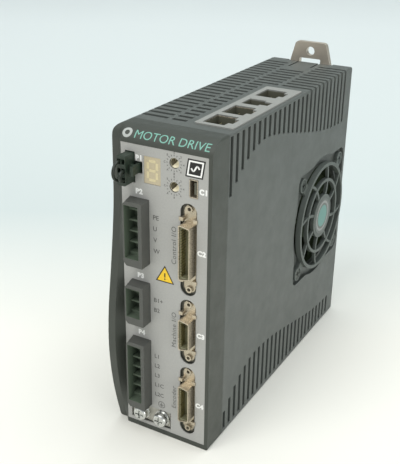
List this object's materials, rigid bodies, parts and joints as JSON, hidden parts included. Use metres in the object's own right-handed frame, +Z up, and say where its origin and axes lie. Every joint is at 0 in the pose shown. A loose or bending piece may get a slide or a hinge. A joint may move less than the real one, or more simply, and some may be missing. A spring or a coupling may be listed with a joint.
{
  "type": "servo drive",
  "caption": "Slim upright servo drive: dark louvred case, grey front panel of power and signal sockets, sockets on top, side fan with grille, metal mounting tab.",
  "frame": {"origin": "centre of the base, on the surface that the drive stands on", "axes": "+Z up, +Y back towards the mounting wall, -Y out of the front panel, +X to the right seen from the front"},
  "size_m": [0.0521, 0.1675, 0.1595],
  "materials": {
    "case_plastic": "dark grey moulded plastic with a fine spark-eroded grain",
    "fascia_plastic": "black-grey moulded plastic, fine grain",
    "panel_overlay": "printed light grey film, satin",
    "label_overlay": "printed light grey plate, satin",
    "plate_metal": "zinc-plated sheet, matte",
    "heat_sink_metal": "extruded, plain",
    "fan_plastic": "black fan plastic",
    "guard_plastic": "dark grey moulded grille",
    "badge": "teal disc with a pale grey ring",
    "dark_screw": "blackened steel screws",
    "screw_metal": "bright zinc plate",
    "connector_plastic": "black connector resin",
    "insulator_resin": "dark olive-brown insulating resin",
    "earth_metal": "grey zinc-plated sheet",
    "wire_sleeve": "black wire sleeve",
    "header_plastic": "dark grey terminal resin",
    "contact_metal": "gold-flashed spring metal",
    "display_resin": "beige potted display",
    "display_bars": "unlit pale segments",
    "switch_cream": "cream moulded rotor",
    "nickel_shell": "warm nickel-plated sheet",
    "circuit_board": "green solder mask",
    "module_resin": "black moulding resin",
    "capacitor_sleeve": "dark shrink sleeve",
    "ferrite": "sintered ferrite",
    "winding": "enamelled copper wire"
  },
  "bodies": {
    "chassis": {"left_housing": "case_plastic", "right_housing": "case_plastic", "front_fascia": "fascia_plastic", "front_panel": "panel_overlay", "top_label": "label_overlay", "back_plate": "plate_metal", "heat_sink": "heat_sink_metal", "fan_frame": "fan_plastic", "fan_bearing": "contact_metal", "fan_stator": "winding", "fan_guard": "guard_plastic", "guard_badge": "badge", "fan_screws": "dark_screw", "housing_screws": "screw_metal", "sto_header": "connector_plastic", "motor_header": "header_plastic", "brake_header": "header_plastic", "mains_header": "header_plastic", "power_contacts": "contact_metal", "display_body": "display_resin", "display_segments": "display_bars", "switch_bodies": "connector_plastic", "usb_shell": "nickel_shell", "usb_tongue": "connector_plastic", "controller_shell": "nickel_shell", "machine_shell": "nickel_shell", "feedback_shell": "nickel_shell", "controller_insulator": "insulator_resin", "machine_insulator": "insulator_resin", "feedback_insulator": "insulator_resin", "signal_contacts": "contact_metal", "connector_clips": "nickel_shell", "ground_plate": "earth_metal", "ground_screws": "screw_metal", "ground_washers": "screw_metal", "jack_shields": "nickel_shell", "jack_inserts": "insulator_resin", "keyed_socket": "connector_plastic", "black_jack": "connector_plastic", "jack_contacts": "contact_metal", "control_board": "circuit_board", "power_board": "circuit_board", "display_board": "circuit_board", "port_board": "circuit_board", "board_link": "connector_plastic", "standoffs": "screw_metal", "board_screws": "screw_metal", "heat_sink_screws": "screw_metal", "power_module": "module_resin", "rectifier_bridge": "module_resin", "bus_capacitors": "capacitor_sleeve", "transformer_core": "ferrite", "transformer_coil": "winding", "line_choke": "ferrite"},
    "fan": {"fan_rotor": "fan_plastic"},
    "upper_switch": {"upper_switch_rotor": "switch_cream"},
    "lower_switch": {"lower_switch_rotor": "switch_cream"},
    "safety_plug": {"sto_plug": "connector_plastic", "sto_jumpers": "wire_sleeve"},
    "plug_latch": {"sto_latch": "connector_plastic"}
  },
  "joints": [
    {"name": "fan_spin", "type": "hinge", "parent": "chassis", "child": "fan", "pos_m": [0.013, 0.0435, 0.07425], "axis": [1, 0, 0], "continuous": true},
    {"name": "upper_switch_turn", "type": "hinge", "parent": "chassis", "child": "upper_switch", "pos_m": [0.0072, -0.0765, 0.1372], "axis": [0, 1, 0], "continuous": true},
    {"name": "lower_switch_turn", "type": "hinge", "parent": "chassis", "child": "lower_switch", "pos_m": [0.0072, -0.0765, 0.1269], "axis": [0, 1, 0], "continuous": true},
    {"name": "safety_plug_pull", "type": "slide", "parent": "chassis", "child": "safety_plug", "axis": [0, -1, 0], "range_m": [0, 0.008]},
    {"name": "plug_latch_press", "type": "hinge", "parent": "safety_plug", "child": "plug_latch", "pos_m": [-0.01, -0.0811, 0.1323], "axis": [0, 0, -1], "range_deg": [0, 6], "stiffness_Nm_per_rad": 0.02}
  ]
}
